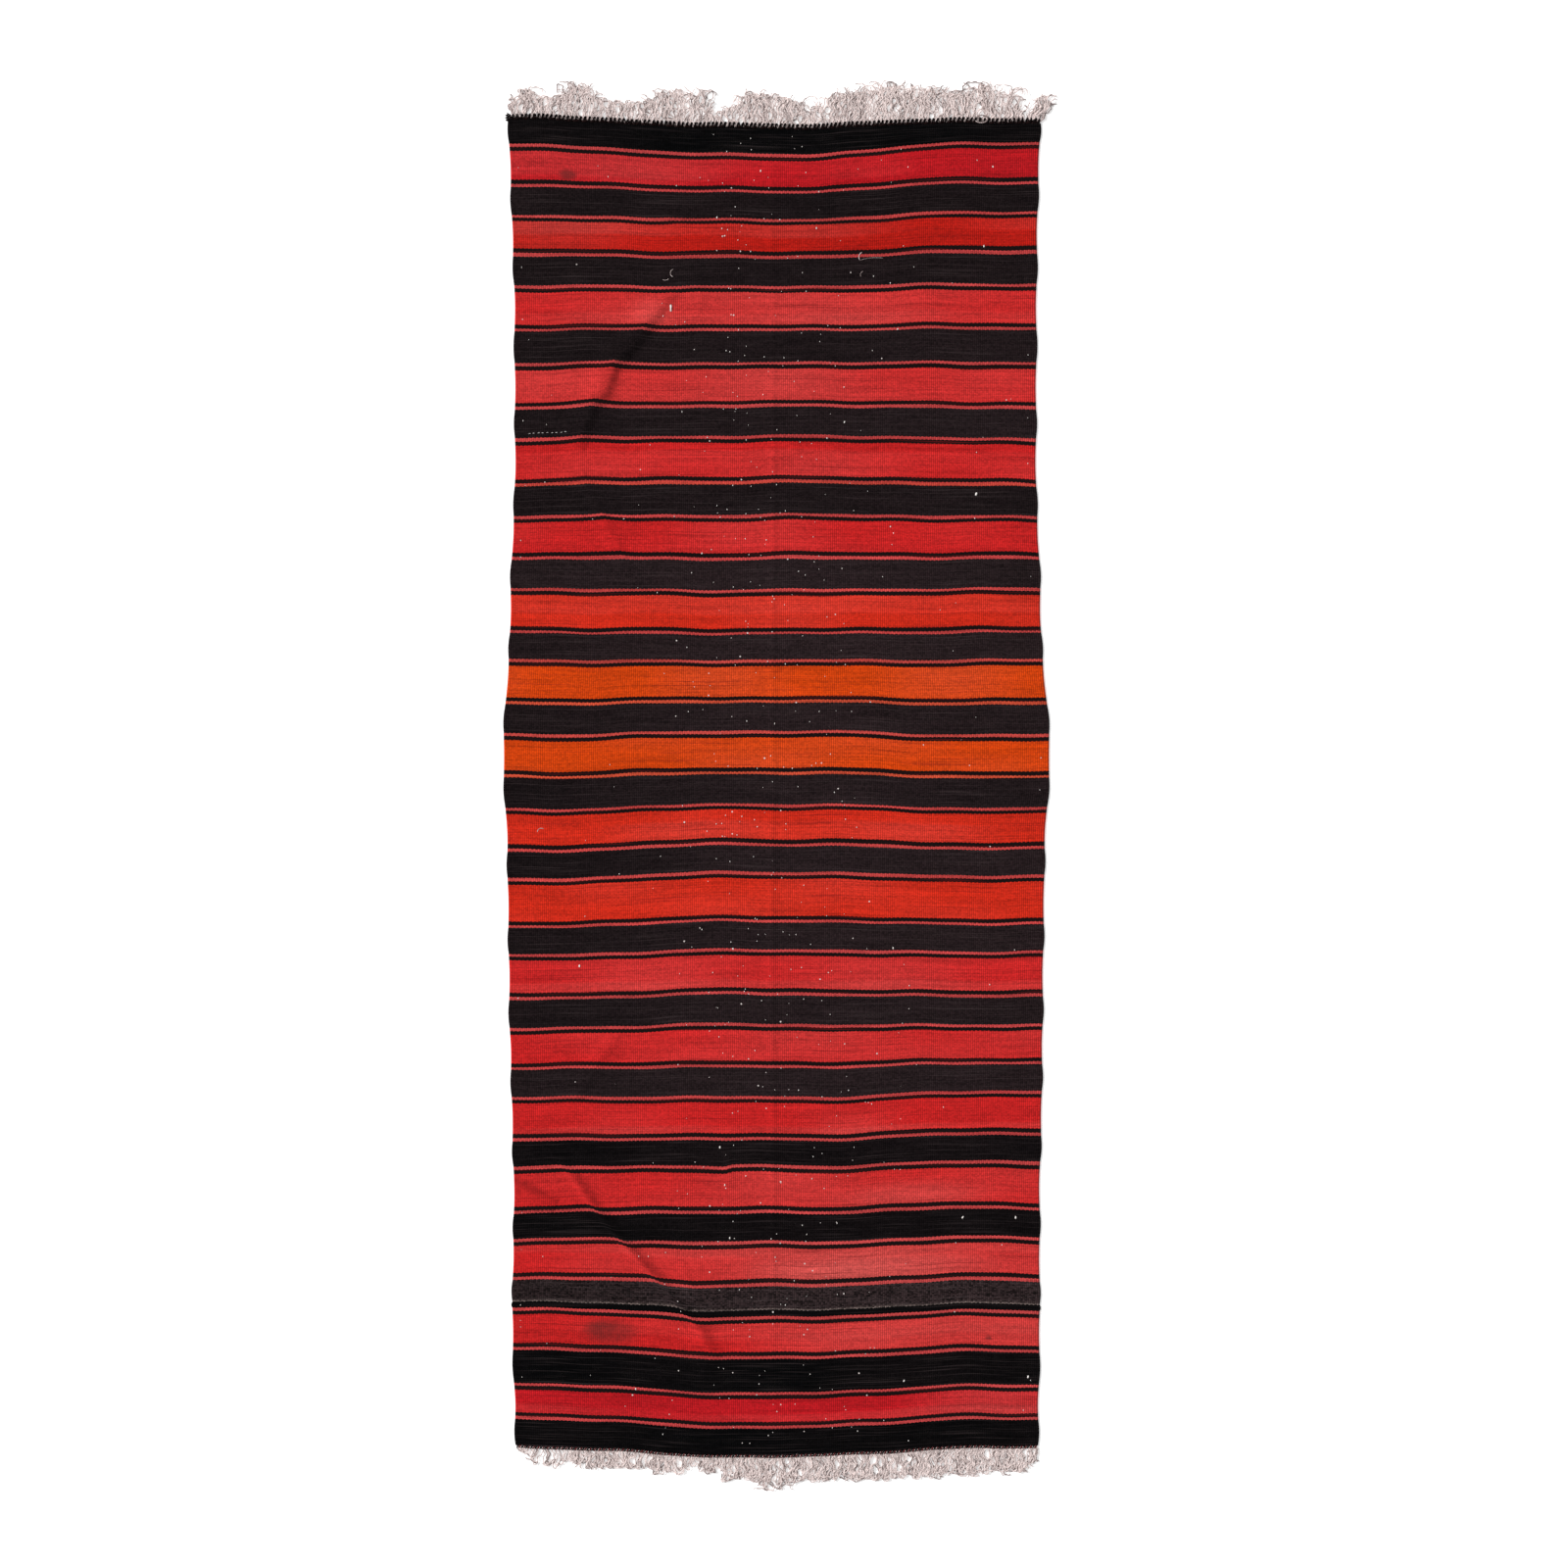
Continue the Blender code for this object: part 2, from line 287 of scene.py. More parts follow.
def crease_relief(across, along):
    """Height that the creases add, and how far the wefts stray towards +Y, in metres."""
    height = np.zeros(across.shape)
    shift = np.zeros(across.shape)
    for path, ridge, left, right, peak, step in CREASES:
        off, share = beside(across, along, path)
        taper = np.sin(math.pi * share) ** 0.6
        flank = np.where(off < 0, left, right)
        height += ridge * np.exp(-((off / flank) ** 2)) * taper
        shift += peak * np.exp(-np.abs(off) / PUSH_REACH) * taper
        shift -= step * np.tanh(off / STEP_WIDTH) * np.exp(-((off / STEP_REACH) ** 2)) * taper
    for a, b, turn, amount in WAVERS:
        shift += amount * np.sin(across / a + along / b + turn)
    height = CREASE_LIMIT * np.tanh(height / CREASE_LIMIT)
    return height * MM, shift * MM


def painted_crease_shade(across, along):
    """How much painted shade the deep creases get on their right flank, the side away from the lamp, at
    each place, 0 to 1.
    """
    darkening = np.zeros(across.shape)
    for path, ridge, _, right, _, _ in CREASES:
        if ridge < DEEP_CREASE:
            continue
        off, share = beside(across, along, path)
        foot = np.exp(-(((off - 0.7 * right) / (0.6 * right)) ** 2))
        darkening += foot * np.sin(math.pi * share) ** 0.5
    return np.clip(darkening, 0.0, 1.0)


def swell(across, along, lift):
    """How far the cloth stands off the floor between its creases, in metres. A crease takes it over."""
    waves = sum(np.sin(across / a + along / b + turn) for a, b, turn in SWELLS)
    inside = ease(np.minimum(across, ACROSS - across) / SWELL_EDGE)
    left_over = np.clip(1 - lift / SWELL_LIMIT, 0.0, 1.0)
    return SWELL_HEIGHT * (waves + len(SWELLS)) * inside * left_over


def lay(across, along):
    """Where the middle of the cloth lies at one place: x, y, z in metres. It reads past both ends too."""
    column = np.clip(across / ACROSS, 0.0, 1.0) * (COLUMNS - 1)
    c = min(int(column), COLUMNS - 2)
    mix = column - c
    k = int(np.clip(np.searchsorted(LINE_ALONG, along) - 1, 0, len(BANDS) - 1))
    gap = ALONG[k + 1] - ALONG[k]
    t = np.clip((along * MM - ALONG[k]) / gap, 0.0, 1.0)
    past = along * MM - np.clip(along * MM, 0.0, ALONG[-1])

    def read(lines, slopes):
        start, end, rise, fall = (
            a[c] * (1 - mix) + a[c + 1] * mix
            for a in (lines[k], lines[k + 1], slopes[k] * gap, slopes[k + 1] * gap)
        )
        return float(hermite(t, start, end, rise, fall))

    at = np.array([float(across)]), np.array([float(along)])
    height, shift = crease_relief(*at)
    z = CLOTH_MIDDLE + height[0] + swell(*at, height)[0]
    return np.array([read(LINE_X, SLOPE_X), read(LINE_Y, SLOPE_Y) - past + shift[0], z])


def new_object(name, data):
    """An object that is in the scene."""
    made = bpy.data.objects.new(name, data)
    bpy.context.scene.collection.objects.link(made)
    return made


def new_piece(name, points, quads, caps, uv, values, material):
    """A mesh piece on the root body. values are its attributes by name, and uv one pair per corner."""
    faces = np.concatenate([np.asarray(quads).ravel(), *[np.ravel(c) for c in caps]]).astype(np.int32)
    sizes = np.concatenate([np.full(len(quads), 4), *[np.full(1, len(c)) for c in caps]])
    starts = np.concatenate([[0], np.cumsum(sizes)[:-1]]).astype(np.int32)
    mesh = bpy.data.meshes.new(name)
    mesh.vertices.add(len(points))
    mesh.loops.add(len(faces))
    mesh.polygons.add(len(starts))
    mesh.vertices.foreach_set("co", np.asarray(points, np.float32).ravel())
    mesh.loops.foreach_set("vertex_index", faces)
    mesh.polygons.foreach_set("loop_start", starts)
    mesh.polygons.foreach_set("use_smooth", np.ones(len(starts), bool))
    mesh.update(calc_edges=True)
    kinds = {1: ("FLOAT", "value"), 3: ("FLOAT_VECTOR", "vector"), 4: ("FLOAT_COLOR", "color")}
    for label, value in values.items():
        value = np.asarray(value, np.float32).reshape(len(points), -1)
        kind, field = kinds[value.shape[1]]
        mesh.attributes.new(label, kind, "POINT").data.foreach_set(field, value.ravel())
    mesh.uv_layers.new(name="OFBake").uv.foreach_set("vector", np.asarray(uv, np.float32).ravel())
    mesh.materials.append(material)
    piece = new_object(name, mesh)
    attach(piece, "root")
    return piece


def tube_faces(rings, around, first=0):
    """Quads of a tube whose points are numbered ring by ring."""
    i, j = np.meshgrid(np.arange(rings - 1), np.arange(around), indexing="ij")
    k = (j + 1) % around
    corners = (i * around + j, (i + 1) * around + j, (i + 1) * around + k, i * around + k)
    return np.stack(corners, axis=-1).reshape(-1, 4) + first


STRIP_GAP = 0.08  # share of a UV strip's height that stays empty above it and below it


def strip_uv(long_count, short_count, rows, row=0, of=None):
    """UV of a long grid of faces cut into strips that lie above each other, rows of them from row on.
    Corners come as near-left, near-right, far-right, far-left with the long way running right."""
    of = of or rows
    per = math.ceil(long_count / rows)
    i, j = np.meshgrid(np.arange(long_count), np.arange(short_count), indexing="ij")
    u0 = 0.01 + 0.98 * (i % per) / per
    u1 = u0 + 0.98 / per
    filled = 1 - 2 * STRIP_GAP
    v0 = (row + i // per + STRIP_GAP + filled * j / short_count) / of
    v1 = v0 + filled / short_count / of
    return np.stack([u0, v0, u1, v0, u1, v1, u0, v1], axis=-1).reshape(long_count, short_count, 4, 2)


# ---- Woven bands ----


def patches(across, along, spots, edge=1.5):
    """How strongly faded patches or stains act at each place, 0 to 1. A high edge gives a clear outline."""
    amount = np.zeros(across.shape)
    for x, y, wide, long, strength in spots:
        off = ((across - x) / wide) ** 2 + ((along - y) / long) ** 2
        amount += strength * np.exp(-(off**edge))
    return np.clip(amount, 0.0, 1.0)


def dye_and_crease_shade_colours(band, across, along):
    """Linear dye colour at each place of a band, darkened by painted shade on the right flank of the deep
    creases, and in alpha how stained it is.
    """
    dye = BAND_DYES[band]
    lot = dye[0] if isinstance(dye[0], str) else None
    stops = dye[1:] if lot else dye
    amount = smooth_curve(across, np.array([60.0, 500.0, 940.0]), np.array(stops))
    amount = amount + 0.05 * np.sin(across / 71 + band) * np.sin(along / 37 + 2 * band)
    faded = patches(across, along, FADED_PATCHES)
    if lot:
        amount = amount + faded
        if band in BALL_CHANGES:
            share, above, below = BALL_CHANGES[band]
            change = LINE_ALONG[band] + share * (LINE_ALONG[band + 1] - LINE_ALONG[band])
            change = change + 1.5 * np.sin(across / 130 + band)
            amount = amount + above + (below - above) * ease((along - change) / 5 + 0.5)
        light = np.clip(amount, 0.0, 1.0)[..., None]
        deep = 1 + np.clip(amount, -1.0, 0.0)[..., None]
        colour = (linear(DYE_LOTS[lot]) * (1 - light) + linear(FADED) * light) * deep
        for half, rows in enumerate((slice(0, 2), slice(-2, None))):
            thin = linear(OTHER_THIN_LINES.get((band, half), THIN_RED))
            mix = 0.3 if (band, half) not in OTHER_THIN_LINES else 0.1
            colour[rows] = thin * (1 - mix) + colour[rows] * mix
    else:
        mix = np.clip(amount + 0.3 * faded, 0.0, 1.0)[..., None]
        colour = linear(FRESH_DARK) * (1 - mix) + linear(WORN_DARK) * mix
        if "heather" in BANDS[band]:
            colour = linear(HEATHER) * (0.6 + 0.4 * mix)
            last = ease((along - LINE_ALONG[band + 1]) / LAST_HEATHER_MM + 1.2)[..., None]
            colour = colour * (1 - last) + linear(PALE_FLEECE) * last * 0.5
    # Painted shade: the right flank of each deep crease, away from the lamp, is darkened
    colour = colour * (1 - CREASE_SHADE_DEPTH * painted_crease_shade(across, along)[..., None])
    stain = patches(across, along, STAINS, 2.6)[..., None]
    return np.concatenate([colour, stain], axis=-1)


def row_depths(band):
    """For each row of a band: its distance from the band's top in mm, the colour line it is on (see
    the weft material) and whether two colours interlock there."""
    height = LINE_ALONG[band + 1] - LINE_ALONG[band]
    creased = any(
        min(y for _, y in path) < LINE_ALONG[band + 1] and max(y for _, y in path) > LINE_ALONG[band]
        for path, ridge, *_ in CREASES
        if ridge > 1
    )
    step = CREASED_ROW_STEP if creased else ROW_STEP
    thin = THIN_LINE_MM + 0.5 * chance.standard_normal(4)
    if isinstance(BAND_DYES[band][0], str):
        marks = [(0.0, 0.0), (thin[0], 1.0), (thin[0] + thin[1], WIDE_BAND)]
        low = height - thin[3] - thin[2]
        marks += [(low, WIDE_BAND), (height - thin[3], 1.0), (height, 0.0)]
    elif "heather" in BANDS[band]:
        last_picks = (height - LAST_HEATHER_MM, height - 1.6, height - 0.5, height)
        marks = [(at, PLAIN_BAND) for at in (0.0, *last_picks)]
    else:
        marks = [(0.0, PLAIN_BAND), (height, PLAIN_BAND)]
    rows = []
    for (start, line), (end, next_line) in zip(marks, marks[1:]):
        count = max(1, round((end - start) / step))
        for i in range(count):
            share = i / count
            value = line + (next_line - line) * share
            if line == next_line == WIDE_BAND:
                value += 4 * min(share, 1 - share)
            rows.append((start + (end - start) * share, value, i == 0))
    rows.append((height, marks[-1][1], True))
    return [np.array(column, float) for column in zip(*rows)]


def woven_band(band, material):
    """One band as a flat tube of cloth: upper face, rounded selvedges and underside."""
    node = BANDS[band]
    height = LINE_ALONG[band + 1] - LINE_ALONG[band]
    depth, line, meets = row_depths(band)
    inner = (depth > 0.01) & (depth < height - 0.01)
    wander = sum(
        np.sin(SHARES * ACROSS / reach + turn) for reach, turn in chance.uniform((18, 0), (90, 6.3), (4, 2))
    )
    teeth = TOOTH * np.sin(math.pi * np.arange(COLUMNS) / STEPS_PER_RIB)
    depth = depth[:, None] + LINE_WANDER * wander[None, :] * inner[:, None]
    t = depth / height
    gap = ALONG[band + 1] - ALONG[band]
    x, y = (
        hermite(t, lines[band], lines[band + 1], slopes[band] * gap, slopes[band + 1] * gap)
        for lines, slopes in ((LINE_X, SLOPE_X), (LINE_Y, SLOPE_Y))
    )
    bulge = SELVEDGE_BULGE["red" if isinstance(BAND_DYES[band][0], str) else "dark"]
    x = x + bulge * np.sin(math.pi * np.clip(t, 0.0, 1.0)) * (2 * SHARES - 1) ** 5
    across = np.broadcast_to(SHARES * ACROSS, x.shape)
    along = LINE_ALONG[band] + depth
    lift, shift = crease_relief(across, along)
    y = y + shift + teeth * meets[:, None]
    z = CLOTH_MIDDLE + lift + swell(across, along, lift)
    rib = RIB_RELIEF * -np.cos(2 * math.pi * np.arange(COLUMNS) / STEPS_PER_RIB)
    rib = rib * np.repeat(RIB_STRENGTH, STEPS_PER_RIB)[:COLUMNS]
    half = CLOTH_HALF + rib

    # One ring of points per row: over the top, round the right selvedge, back underneath, round the left
    turns = np.radians([40, 90, 140])
    over = np.stack([x, y, z + half], axis=-1)
    under = np.stack([x, y, z - half], axis=-1)[:, ::-1]

    def selvedge(column, outward, angles):
        ring = np.repeat(np.stack([x, y, z], axis=-1)[:, column, None], len(angles), axis=1)
        ring[:, :, 0] += outward * EDGE_ROUND * np.sin(angles)
        ring[:, :, 2] += half[column] * np.cos(angles)
        return ring

    right = selvedge(-1, 1, turns)
    left = selvedge(0, -1, turns[::-1])
    points = np.concatenate([over, right, under, left], axis=1)
    rows, around = points.shape[:2]

    def round_the_ring(grid, right_values, left_values):
        right_edge = np.repeat(grid[:, -1, None], 3, axis=1) + right_values
        left_edge = np.repeat(grid[:, 0, None], 3, axis=1) + left_values
        return np.concatenate([grid, right_edge, grid[:, ::-1], left_edge], axis=1)

    past_selvedge = np.array([1.0, 2.5, 1.0])
    ring_across = round_the_ring(across, past_selvedge, -past_selvedge)
    ring_along = round_the_ring(along, 0.0, 0.0)
    side = np.repeat([0.0, 0.5, 1.0, 0.5], [COLUMNS, 3, COLUMNS, 3])
    cloth = np.stack([ring_across, ring_along, np.broadcast_to(side, ring_across.shape)], axis=-1)
    lines = np.repeat(line, around)
    # The dye attribute also carries the painted shade of the deep creases
    values = {"cloth": cloth, "line": lines, "dye": dye_and_crease_shade_colours(band, ring_across, ring_along)}
    rows_of_uv = max(1, round(math.sqrt(2 * ACROSS / (height * 1.2))))
    uv = strip_uv(around, rows - 1, rows_of_uv).transpose(1, 0, 2, 3)
    uv = uv[:, :, [0, 3, 2, 1]]  # a face's corners run down the rows first
    name = node.replace("weft_", "band_")
    quads = tube_faces(rows, around)
    piece = new_piece(name, points.reshape(-1, 3), quads, [], uv, values, material)
    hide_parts(node)
    width = float(np.mean(x[:, -1] - x[:, 0])) + 2 * EDGE_ROUND
    return piece, (round(width, 3), round(height * MM, 4))


# ---- Yarns: fringe, stitches, bare warps ----

AROUND = 8  # points round a yarn
CIRCLE = 2 * math.pi * np.arange(AROUND) / AROUND
LOBES = 0.2  # how far the two plies stand out of a round outline, as a share of its radius


def yarn(path, width, ply_turn, taper=0.35, reference=(0, 0, 1), soil_and_shade=None):
    """A two-ply yarn along a path: rings of points whose outline has two lobes that wind round it. The last
    argument is how dark its material makes it, 0 to 1, or left to chance: dirt, and on the fringe's lowest
    strings painted shade as well."""
    path = np.asarray(path, float)
    length = np.concatenate([[0.0], np.cumsum(np.linalg.norm(np.diff(path, axis=0), axis=1))])
    tangent = np.gradient(path, axis=0)
    tangent /= np.linalg.norm(tangent, axis=1)[:, None]
    side = np.cross(tangent, reference)
    side /= np.maximum(np.linalg.norm(side, axis=1), 1e-6)[:, None]
    up = np.cross(side, tangent)
    lobes = 1 + LOBES * np.cos(2 * (CIRCLE - 2 * math.pi * length[:, None] / ply_turn))
    ends = np.minimum(length, length[-1] - length) / width
    swollen = taper + (1 - taper) * ease(ends + 0.2)
    radius = (width / 2) * lobes * swollen[:, None]
    outward = np.cos(CIRCLE)[:, None] * side[:, None] + np.sin(CIRCLE)[:, None] * up[:, None]
    points = path[:, None] + radius[..., None] * outward
    turns = np.broadcast_to(CIRCLE / (2 * math.pi), radius.shape)
    place = np.broadcast_to(length[:, None] / MM, radius.shape)
    soil_and_shade = chance.random() if soil_and_shade is None else soil_and_shade
    return points, np.stack([turns, place, np.full(radius.shape, soil_and_shade)], axis=-1)


def yarn_piece(name, yarns, material, nodes=(), strips=1):
    """Yarns joined into one piece. strips is how many rows of UV each one takes."""
    points, values, quads, caps, uvs, first = [], [], [], [], [], 0
    rows = len(yarns) * strips
    cap_uvs = []
    for n, (rings, value) in enumerate(yarns):
        count = len(rings)
        points.append(rings.reshape(-1, 3))
        values.append(value.reshape(-1, 3))
        quads.append(tube_faces(count, AROUND, first))
        uvs.append(strip_uv(count - 1, AROUND, strips, n * strips, rows).reshape(-1, 2))
        start = np.arange(AROUND) + first
        caps += [start, (start + (count - 1) * AROUND)[::-1]]
        for u in (0.004, 0.996):
            v = (n * strips + 0.5 + 0.3 * np.sin(CIRCLE)) / rows
            cap_uvs.append(np.stack([u + 0.003 * np.cos(CIRCLE), v], axis=-1))
        first += count * AROUND
    uv = np.concatenate(uvs + cap_uvs)
    values = {"yarn": np.concatenate(values)}
    points, quads = np.concatenate(points), np.concatenate(quads)
    piece = new_piece(name, points, quads, caps, uv, values, material)
    if nodes:
        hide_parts(*nodes)
    return piece


TUFT_WAVE = 0.58  # radians that a string swings with its tuft
CRIMP_WAVE = 0.40  # and with the crimp of the weave
TURN = 6.28  # radians in a full wave
DROP_MM = 11.0  # length over which a string comes down to the floor


def wander_off(start, reach, lean, direction, width, curl, layer, bend):
    """Path of one fringe yarn from the cloth's edge. It leans, bends with its tuft (bend holds the length
    and the phase of that wave), keeps the crimp of the weave and may curl back at its tip."""
    count = max(8, round(reach / 1.6 / MM))
    s = np.linspace(0.0, 1.0, count)
    run_mm = s * reach / MM
    crimp, phase = chance.uniform(6.5, 9.5), chance.uniform(0, 6.3)
    heading = lean * (1 - 0.5 * s) + TUFT_WAVE * np.sin(run_mm * TURN / bend[0] + bend[1])
    heading = heading + CRIMP_WAVE * np.sin(run_mm * TURN / crimp + phase)
    heading = heading * ease(s * 5 + 0.2) + curl * ease((s - 0.6) / 0.4)
    run = np.cumsum(np.stack([np.sin(heading), np.cos(heading)], axis=-1), axis=0)
    run = (run - run[0]) * reach / max(run[:, 1].max(), 0.6 * count)
    floor = width / 2 * 1.25 + layer  # the plies stand out past half the width
    drop = ease(run_mm / DROP_MM)
    bumps = 0.5 * MM * (1 + np.sin(run_mm / 4.2 + phase)) * drop
    z = start[2] * (1 - drop) + floor * drop + bumps
    return np.stack([start[0] + run[:, 0], start[1] + direction * run[:, 1], z], axis=-1)


def last_line(direction):
    """Which of the lines between bands is the end of the weave on this side."""
    return 0 if direction > 0 else -1


def tip_outline(node, direction):
    """X and Y of the outline of a warp node's fringe at one end."""
    lowest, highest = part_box(node)
    limit = highest.y if direction > 0 else lowest.y
    near = 0.5 * abs(limit - LINE_Y[last_line(direction)].mean()) + 20 * MM
    return face_corners(node, direction, lambda x, y, z: abs(y - limit) < near)


# Where the fringe is longer or shorter than its general outline: across, half-width, millimetres
LONG_AND_SHORT = {
    "top": ((26, 24, 25), (132, 22, 34), (312, 18, 27), (350, 12, 20), (388, 18, -26), (455, 20, 27),
            (562, 18, -30), (716, 15, 25), (800, 22, 12), (900, 26, 19), (968, 9, -44)),
    "bottom": ((58, 34, 24), (135, 18, 11), (300, 24, 10), (345, 18, -14), (405, 16, 14), (505, 18, 13),
               (905, 8, -12), (982, 22, 15)),
}
GAPS = {"top": 96, "bottom": 80}  # places where neighbouring strings have parted
SPARSE_RIBS = range(4, 27)  # at the bottom left most of the fringe has broken off
FALLEN_RIBS = range(RIB_COUNT - 11, RIB_COUNT)  # at the top right it has fallen outwards
OUTERMOST = 8  # ribs at each selvedge whose strings lean inwards
SHORTEST = 9.0 * MM
CURLS = [0.0, 0.0, 0.0, 1.2, -1.2, 2.9, -2.9]  # radians that a tip curls by, most often not at all
SPARSE_CURLS = [2.4, -2.9, 1.6]


def parted_places(end, direction, outline_at):
    """Places where the strings have parted: X and Y of the middle, half-width and half-length."""
    border_along = LINE_ALONG[last_line(direction)]
    found = []
    for _ in range(GAPS[end]):
        x, y, _ = lay(chance.uniform(8, 992), border_along)
        reach = outline_at(x)
        wide = chance.uniform(2.0, 4.8) * MM
        long = wide * chance.uniform(1.6, 3.2)
        away = chance.uniform(0.22, 0.72) * reach
        if reach > 24 * MM:  # shorter strings don't part
            found.append((x, y + direction * away, wide, long))
    return found


def go_round(path, gaps):
    """Bends a string's path round every parted place, on the side that it already passes."""
    for x, y, wide, long in gaps:
        off = path[:, 0] - x
        near = (path[:, 1] - y) / long
        if np.abs(near).min() > 1 or np.abs(off).min() > 5 * wide:
            continue
        side = 1.0 if off[np.abs(near).argmin()] > 0 else -1.0
        opening = wide * np.sqrt(np.clip(1 - near**2, 0.0, 1.0))
        path[:, 0] += side * (np.hypot(off, opening) - np.abs(off))
    return path


# The strings of one warp: how far beside it, which way it leans in its tuft, how high it lies, and how dark
# its material makes it, from dirt and, on the lowest string under the other two, painted shade
STRINGS = ((0.0, 1, 0.0, 0.85), (-1.2, -1, 1.5, 0.20), (1.2, 1, 1.3, 0.30))


def fringe(end, direction, material):
    """One end's fringe, a piece for each group of warps. Each warp comes out as three strings, and a few
    neighbours hang together as a tuft, with a string of each crossing it the other way."""
    groups = sorted(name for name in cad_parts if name.startswith("warps_"))
    border_along = LINE_ALONG[last_line(direction)]
    pieces = []
    tips = [tip_outline(group, direction) for group in groups]
    all_x, all_y = (np.concatenate([tip[k] for tip in tips]) for k in (0, 1))
    order = np.argsort(all_x)
    edge = LINE_Y[last_line(direction)].mean()

    def outline_at(x):
        return abs(np.interp(x, all_x[order], all_y[order]) - edge)

    gaps = parted_places(end, direction, outline_at)
    rib, left_in_tuft = 0, 0
    for n, group in enumerate(groups):
        tip_x, tip_y = tips[n]
        yarns = []
        while rib < round(RIB_COUNT * (n + 1) / len(groups)):
            if left_in_tuft == 0:
                left_in_tuft = int(chance.integers(3, 8))
                tuft_lean = chance.uniform(-0.5, 0.5)
                tuft_bend = (chance.uniform(18, 36), chance.uniform(0, 6.3))
                tuft_share = chance.uniform(0.90, 1.05)
            left_in_tuft -= 1
            across = (rib + 0.5) / RIB_COUNT * ACROSS
            start = lay(across, border_along)
            outline = abs(np.interp(start[0], tip_x, tip_y) - start[1])
            for at, half, extra in LONG_AND_SHORT[end]:
                outline += extra * MM * math.exp(-(((across - at) / half) ** 2))
            outline = max(outline, SHORTEST)
            strings = STRINGS
            sparse = end == "bottom" and rib in SPARSE_RIBS
            if sparse:
                strings = STRINGS[rib % 3 :: 3]
            for beside_it, way, lies, dirt_and_shade_level in strings:
                width = chance.uniform(1.8, 2.4) * MM
                reach = outline * tuft_share * chance.uniform(0.80, 1.0)
                curl = chance.choice(SPARSE_CURLS if sparse else CURLS)
                layer = (lies + chance.uniform(0.0, 1.2)) * MM
                bend = (tuft_bend[0], tuft_bend[1] + chance.uniform(-0.6, 0.6))
                lean = way * tuft_lean + chance.uniform(-0.2, 0.2)
                if min(rib, RIB_COUNT - 1 - rib) < OUTERMOST:  # they lean inwards
                    lean = chance.uniform(0.0, 0.35) * (1 if rib < OUTERMOST else -1)
                if end == "top" and rib in FALLEN_RIBS:
                    lean = chance.uniform(0.25, 0.85)
                first = start + np.array([beside_it, 0.0, beside_it * 0.3]) * MM
                path = wander_off(first, reach, lean, direction, width, curl, layer, bend)
                # Dirt, and painted shade on the string that lies under the other two
                soil_and_shade = dirt_and_shade_level + chance.uniform(-0.2, 0.15)
                yarns.append(yarn(go_round(path, gaps), width, 6.5 * MM, soil_and_shade=soil_and_shade))
            rib += 1
        name = f"fringe_{end}_{n + 1:02d}"
        pieces.append(yarn_piece(name, yarns, material, [group]))
    return pieces


SELVEDGE_STRINGS = 5  # in the bundle that each selvedge turns round


def corner_tuft(name, node, across, direction, material):
    """The free end of a selvedge bundle."""
    tip_x, tip_y = tip_outline(node, direction)
    yarns = []
    for i in range(SELVEDGE_STRINGS):
        start = lay(across, LINE_ALONG[last_line(direction)])
        start[0] += (i - 2) * 1.1 * MM
        run = np.array([tip_x.mean() + chance.normal(0, 3 * MM), tip_y.mean()]) - start[:2]
        reach = abs(run[1]) * chance.uniform(0.8, 1.0)
        lean = math.atan2(run[0], abs(run[1])) * 1.25
        curl = chance.uniform(-0.8, 0.8)
        path = wander_off(start, reach, lean, direction, 2.4 * MM, curl, (i % 3) * MM, (30, i * 0.4))
        yarns.append(yarn(path, 2.4 * MM, 7 * MM))
    return yarn_piece(name, yarns, material, [node])


STEPS_A_TURN = 14
POSTS = 241  # places along an end where the cloth's height is read
WOBBLES = 180  # places along an end where the winding may run ahead or lag


def edge_thread(name, line, offset, radii, turn, phase, width, wobble, material, node):
    """A thread that winds along one end of the weave, as the rows of EDGE_THREADS say."""
    place = np.linspace(0.0, ACROSS, round(ACROSS / turn * STEPS_A_TURN))
    posts = np.linspace(0.0, ACROSS, POSTS)
    at = np.array([lay(a, LINE_ALONG[line]) for a in posts])
    base = np.stack([np.interp(place, posts, at[:, k]) for k in range(3)], axis=-1)
    uneven = np.interp(place, np.linspace(0, ACROSS, WOBBLES), chance.standard_normal(WOBBLES))
    angle = phase - 2 * math.pi * place / turn - wobble * uneven
    width = width * MM
    base[:, 1] += (offset + radii[0] * np.cos(angle)) * MM
    base[:, 2] = np.maximum(base[:, 2] + (radii[1] * np.sin(angle) + 0.3) * MM, width * 0.62)
    rings = yarn(base, width, 5 * MM, reference=(1, 0.02, 0.03))
    return yarn_piece(name, [rings], material, [node], strips=24)


def on_cloth(across, along, length, width, heading=0.0, bend=0.0):
    """A short yarn that lies on the cloth, centred at a place. Heading 0 runs along the warps."""
    s = np.linspace(-0.5, 0.5, max(4, round(length / 1.2)))
    path = []
    for place, angle in zip(s * length, heading + bend * s):
        x, y, z = lay(across + place * math.sin(angle), along - place * math.cos(angle))
        path.append((x, y, z + CLOTH_HALF + RIB_RELIEF * 0.4 + 0.1 * width * MM))
    return yarn(np.array(path), width * MM, 3 * MM, taper=0.5)


# ---- Materials ----


def add_node(tree, kind, *feeds, out=0, **settings):
    """Adds a node with its settings, and feeds its inputs values or other nodes' outputs, in their order
    or from a dict by name. kind may name an operation too. It gives back one output, or the node itself
    where out is None."""
    kind, _, operation = kind.partition(" ")
    node = tree.nodes.new("ShaderNode" + kind)
    if operation:
        node.operation = operation
    for name, value in settings.items():
        setattr(node, name, value)
    named = feeds[0] if feeds and isinstance(feeds[0], dict) else dict(enumerate(feeds))
    for name, value in named.items():
        if isinstance(value, bpy.types.NodeSocket):
            tree.links.new(value, node.inputs[name])
        else:
            node.inputs[name].default_value = value
    return node if out is None else node.outputs[out]


